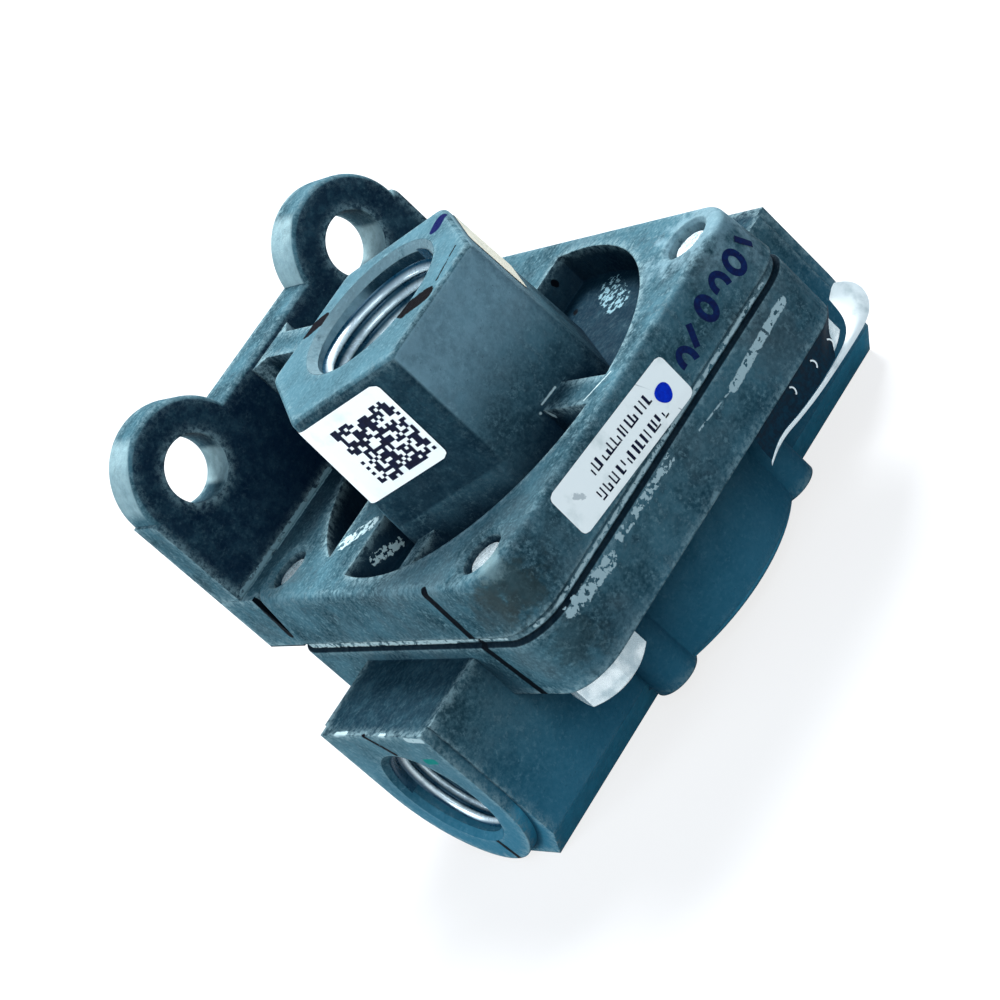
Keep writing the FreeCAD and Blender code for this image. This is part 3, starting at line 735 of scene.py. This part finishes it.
curl_steps = 96
curl_outer = smooth_path([(6.8, -31.35, 15.0), (10.1, -31.35, 15.8), (14.0, -31.35, 15.1),
                          (19.0, -31.2, 14.5), (24.5, -30.6, 14.0), (29.2, -29.8, 13.5),
                          (32.8, -29.0, 13.2), (35.1, -28.3, 13.8), (36.2, -27.6, 15.1),
                          (36.1, -26.8, 17.2), (34.2, -26.2, 18.5)], curl_steps)
curl_inner = smooth_path([(7.5, -31.2, 15.3), (10.5, -31.2, 16.2), (14.5, -31.2, 15.5),
                          (19.6, -31.0, 15.0), (24.6, -30.3, 14.7), (27.7, -29.6, 14.6),
                          (29.6, -28.7, 14.9), (30.8, -27.8, 15.5), (31.4, -27.0, 16.1),
                          (31.9, -26.2, 16.8), (32.5, -25.4, 17.4)], curl_steps)
curl_paper = paper("curl_paper", colour(236, 241, 239), colour(186, 198, 198), [])
grid_piece("curled_label", between(curl_outer, curl_inner, (0.1, -0.1, 0.25)), curl_paper)

# Painted shade: the back is coloured a dark blue as the shade under the flange.
back_paper_painted_shade = printed("back_paper_painted_shade", colour(4, 26, 40), colour(10, 44, 60))
back_steps = 60
back_high = smooth_path([(8.0, -31.2, 18.9), (12, -31.2, 19.0), (20, -31.2, 19.0), (27, -30.8, 19.0),
                         (30.4, -28.2, 18.8)], back_steps)
back_low = curl_inner[:back_steps] + np.array([0, 0.1, 0.1]) * MM
grid_piece("curled_label_back", between(back_low, back_high, (0, 0.3, 0)), back_paper_painted_shade)

glint_y = -31.12 * MM
bend = np.linspace(-1.1, 1.1, 13)[:, None]
for number, (x, z) in enumerate([(24.5, 17.0), (20.7, 17.4), (16.0, 17.9)]):
    reach = np.array([[0.62, 0.84]]) * MM
    glint_x = x * MM + reach * np.cos(bend)
    glint_z = z * MM + reach * np.sin(bend)
    arc = np.stack([glint_x, glint_y + 0 * glint_x, glint_z], axis=-1)
    grid_piece("curled_label_glint_%d" % number, arc, curl_paper)


# Studio
# A white floor, soft light from above, from the left and from the front, and a camera that looks down
# on the valve's front left side and is turned by about ninety degrees.
def studio_white(name):
    """White floor that shows white to the camera and keeps soft shadows."""
    made = bpy.data.materials.new(name)
    made.use_nodes = True
    tree = made.node_tree
    surface = tree.nodes["Principled BSDF"]
    surface.inputs["Base Color"].default_value = (0.13, 0.14, 0.15, 1.0)
    surface.inputs["Roughness"].default_value = 0.9
    seen = shade(tree, "LightPath")
    straight = calc(tree, "MAXIMUM", seen.outputs["Is Camera Ray"], seen.outputs["Is Glossy Ray"])
    strength = calc(tree, "MULTIPLY", straight, 0.80)
    glow = shade(tree, "Emission", {"Color": (1, 1, 1, 1), "Strength": strength})
    both = shade(tree, "AddShader", {0: surface.outputs[0], 1: glow.outputs[0]})
    tree.links.new(both.outputs[0], tree.nodes["Material Output"].inputs["Surface"])
    return made


floor_half = 3.0
floor_z = -0.05 * MM
floor_points = np.array([[(-floor_half, -floor_half, floor_z), (-floor_half, floor_half, floor_z)],
                         [(floor_half, -floor_half, floor_z), (floor_half, floor_half, floor_z)]])
grid_piece("floor", floor_points, studio_white("floor_white"), body=None)

world = bpy.data.worlds.new("studio")
bpy.context.scene.world = world
world.use_nodes = True
sky = world.node_tree
straight = shade(sky, "LightPath").outputs["Is Camera Ray"]
room_tone = (0.012, 0.085, 0.20, 1)
sky.links.new(tint(sky, straight, room_tone, (1, 1, 1, 1)), sky.nodes["Background"].inputs["Color"])


def lamp(name, place, size, power, tone):
    """Square area light at a place, turned to the middle of the valve."""
    data = bpy.data.lights.new(name, "AREA")
    data.size = size
    data.energy = power
    data.color = tone
    made = bpy.data.objects.new(name, data)
    bpy.context.scene.collection.objects.link(made)
    direction = lamp_target - np.array(place)
    made.location = place
    made.rotation_mode = "QUATERNION"
    made.rotation_quaternion = Vector(direction).to_track_quat("-Z", "Y")


lamp_target = np.array([0, 0, 30]) * MM
lamp("key", (0.50, 0.42, 0.80), 0.45, 31.0, (1.0, 1.0, 1.0))
lamp("side", (-0.85, 0.42, 0.16), 0.45, 10.0, (0.92, 0.98, 1.0))
lamp("fill", (-0.35, -0.85, 0.75), 1.10, 13.0, (0.88, 0.97, 1.0))

camera_data = bpy.data.cameras.new("camera")
camera_data.lens = 106.7
camera_data.sensor_width = 36.0
camera_data.clip_start = 0.01
camera = bpy.data.objects.new("camera", camera_data)
bpy.context.scene.collection.objects.link(camera)
right = (0.5121, -0.5174, -0.6857)
down = (-0.7789, 0.0568, -0.6246)
forward = (0.3621, 0.8539, -0.3739)
turned = np.eye(4)
turned[:3, 0] = right
turned[:3, 1] = -np.array(down)
turned[:3, 2] = -np.array(forward)
turned[:3, 3] = (-0.1440, -0.3220, 0.1700)
camera.matrix_world = Matrix(turned.tolist())
bpy.context.scene.camera = camera
bpy.context.scene.view_settings.view_transform = "Standard"
